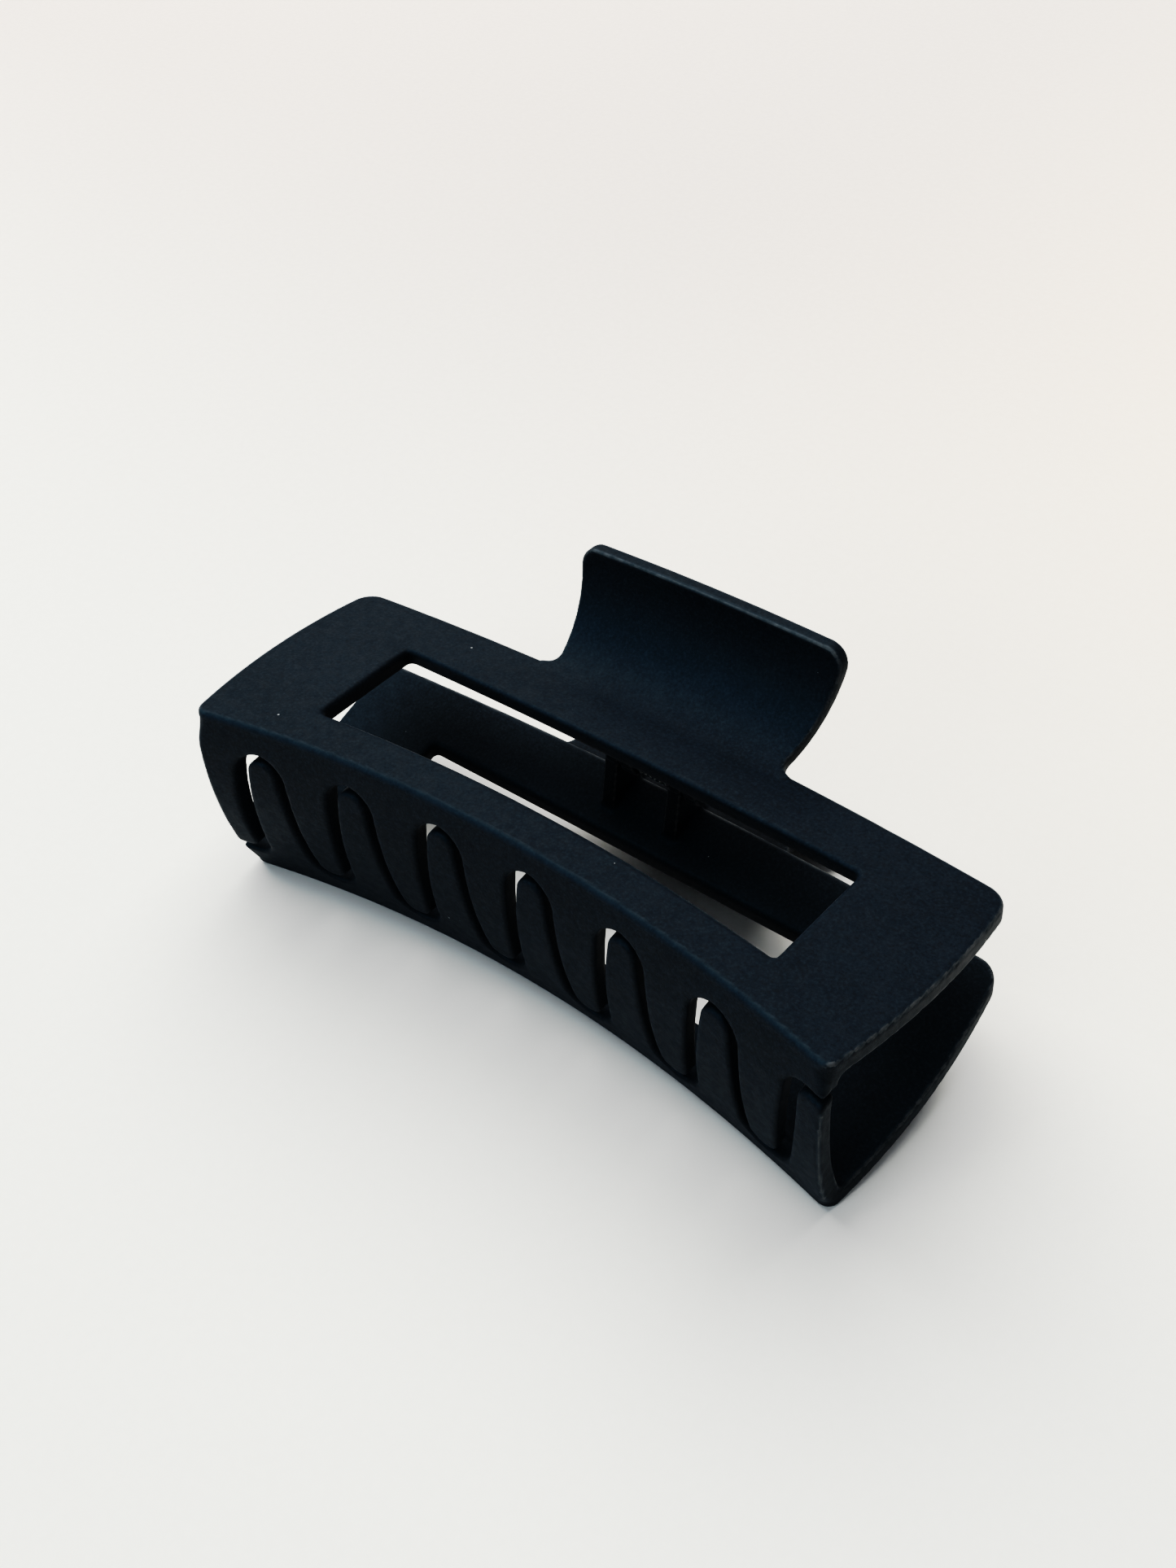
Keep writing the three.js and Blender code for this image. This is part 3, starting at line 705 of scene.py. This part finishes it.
def matte_plastic():
    """Black soft-touch plastic: bluish, grained, a little dusty, and pale along its edges from
    wear and a painted highlight.
    """
    n = Nodes("matte_black_plastic")
    cloud = n.remap(n.noise(110, 5, 0.6), 0.32, 0.68)
    base = n.mix(cloud, PLASTIC_DARK, PLASTIC_LIGHT)
    grain = n.noise(2300, 3, 0.6)
    base = n.mix(n.remap(grain, 0.46, 0.74), base, GRAIN_LIGHT)
    base = n.mix(n.remap(grain, 0.48, 0.30), base, GRAIN_DARK)
    # Edges painted paler: partly wear, partly a painted highlight like the bright line a grazing
    # light gives on the bend crest
    edge = n.remap(n.attribute(EDGE_ATTRIBUTE), 0.25, 0.8)
    wear_and_highlight = n.math("MULTIPLY", edge, n.remap(n.noise(420, 5, 0.65), 0.25, 0.7, 0.25, 1.0))
    base = n.mix(n.math("MULTIPLY", wear_and_highlight, 0.8), base, WORN_EDGE_AND_HIGHLIGHT)
    # The sharpest edges are painted paler still: wear and painted highlight
    hard_edge = n.remap(n.attribute(EDGE_ATTRIBUTE), 0.72, 1.0)
    bare_and_highlight = n.math("MULTIPLY", hard_edge, n.remap(n.noise(650, 4, 0.6), 0.30, 0.70, 0.2, 0.85))
    base = n.mix(bare_and_highlight, base, BARE_EDGE_AND_HIGHLIGHT)
    distance, random = n.spots(420)
    size = n.remap(random, 0.72, 1.0, 0.0, 0.085)
    speck = n.math("LESS_THAN", distance, size)
    base = n.mix(n.math("MULTIPLY", speck, 0.5), base, DUST)
    rough = n.remap(n.noise(700, 4), 0.25, 0.75, 0.50, 0.60)
    rough = n.math("SUBTRACT", rough, n.math("MULTIPLY", wear_and_highlight, 0.12))
    soft = n.bump(n.noise(900, 3), 0.00004, 0.5)
    fine = n.bump(n.noise(5200, 2), 0.000022, 0.9, below=soft)
    return n.surface(
        Base_Color=base,
        Roughness=rough,
        Specular_IOR_Level=0.06,
        Normal=fine,
        Sheen_Weight=0.02,
        Sheen_Roughness=0.5,
        Sheen_Tint=SHEEN,
    )


def steel(name, low, high, roughness, streak):
    """Bright drawn wire: fine scratches and slight stains."""
    n = Nodes(name)
    tone = n.remap(n.noise(streak, 5), 0.3, 0.7)
    scratch = n.noise(9000, 2)
    color = n.mix(tone, low, high)
    rough = n.remap(n.noise(1500, 4), 0.3, 0.7, roughness, roughness + 0.14)
    return n.surface(
        Base_Color=color,
        Metallic=1.0,
        Roughness=rough,
        Normal=n.bump(scratch, 0.000006, 0.6),
    )


def pale_paper():
    """White paper with fibres, painted greyer and darker towards the far left and warmer and
    brighter towards the far right: painted shade and light.
    """
    n = Nodes("pale_paper")
    split = n.add("ShaderNodeSeparateXYZ")
    n.put(split.inputs["Vector"], n.coordinates)
    backward = n.remap(split.outputs["Y"], -0.05, 0.22)
    rightward = n.remap(split.outputs["X"], -0.15, 0.15)
    # Painted shade towards the far left and painted light towards the far right
    far = n.mix(rightward, PAPER_FAR_LEFT_PAINTED_SHADE, PAPER_FAR_RIGHT_PAINTED_LIGHT)
    tone = n.mix(backward, PAPER_NEAR, far)
    patches = n.remap(n.noise(9, 4), 0.3, 0.7, 0.0, 0.03)
    tone = n.mix(patches, tone, PAPER_PATCH)
    fibres = n.remap(n.noise(620, 4, 0.7), 0.35, 0.65, 0.0, 0.07)
    tone = n.mix(fibres, tone, PAPER_FIBRE)
    return n.surface(Base_Color=tone, Roughness=0.9, Specular_IOR_Level=0.1)


def make_floor(material):
    corners = FLOOR_REACH_M * np.array([(-1, -1, 0), (1, -1, 0), (1, 1, 0), (-1, 1, 0)])
    floor = make_mesh_object("floor_sweep", corners, [(0, 1, 2, 3)])
    floor.data.materials.append(material)


def aim(obj, position, target, roll=0.0):
    """Puts a lamp or a camera in its place, looking at a target."""
    position, target = Vector(position), Vector(target)
    ahead = (target - position).normalized()
    right = ahead.cross(Vector((0, 0, 1))).normalized()
    up = right.cross(ahead)
    tilted_right = right * math.cos(roll) + up * math.sin(roll)
    tilted_up = up * math.cos(roll) - right * math.sin(roll)
    turn = Matrix((tilted_right, tilted_up, -ahead)).transposed()
    obj.matrix_world = Matrix.Translation(position) @ turn.to_4x4()


def add_soft_light(name, position, size, power, color):
    """A round softbox: its place and width in metres, its power in watts."""
    data = bpy.data.lights.new(name, "AREA")
    data.shape = "DISK"
    data.size = size
    data.energy = power
    data.color = color
    lamp = bpy.data.objects.new(name, data)
    bpy.context.scene.collection.objects.link(lamp)
    aim(lamp, position, LAMP_TARGET_M)
    return lamp


def grade_picture():
    """A contrasty print: deep blacks, open greys and soft whites."""
    settings = bpy.context.scene.view_settings
    settings.view_transform = "Standard"
    settings.use_curve_mapping = True
    combined = settings.curve_mapping.curves[3]
    for bright, shown in PICTURE_CURVE:
        combined.points.new(bright, shown)
    settings.curve_mapping.update()


def light_studio():
    """A warm softbox over the back, a weak cool fill, and a sky that only reflections see."""
    world = bpy.data.worlds.new("studio")
    world.use_nodes = True
    back = world.node_tree.nodes["Background"]
    back.inputs["Color"].default_value = (0.92, 0.94, 1.0, 1)
    back.inputs["Strength"].default_value = 0.12
    bpy.context.scene.world = world
    add_soft_light(
        "softbox_over", (-0.75, 0.65, 1.70), size=2.9, power=50.5, color=(1.0, 0.985, 0.955)
    )
    add_soft_light(
        "fill_front", (-0.25, -1.50, 0.60), size=1.2, power=4.5, color=(0.78, 0.90, 1.0)
    )
    sky = add_soft_light(
        "sky_reflected", (-0.55, -0.75, 1.40), size=3.0, power=46.0, color=(0.26, 0.76, 1.0)
    )
    sky.visible_diffuse = False
    grade_picture()


def add_camera():
    data = bpy.data.cameras.new("camera")
    data.sensor_fit = "VERTICAL"
    data.sensor_height = CAMERA_FILM_HEIGHT
    data.lens = CAMERA_LENS
    data.clip_start = 5 * MM
    camera = bpy.data.objects.new("camera", data)
    bpy.context.scene.collection.objects.link(camera)
    aim(camera, CAMERA_AT_M, CAMERA_TARGET_M, math.radians(CAMERA_ROLL_DEG))
    bpy.context.scene.camera = camera


add_camera()
light_studio()
make_floor(pale_paper())
make_jaws(matte_plastic())
make_pin(steel("pin_bright_steel", PIN_DARK, PIN_LIGHT, roughness=0.26, streak=500))
make_spring(steel("spring_bright_steel", SPRING_DARK, SPRING_LIGHT, roughness=0.24, streak=900))
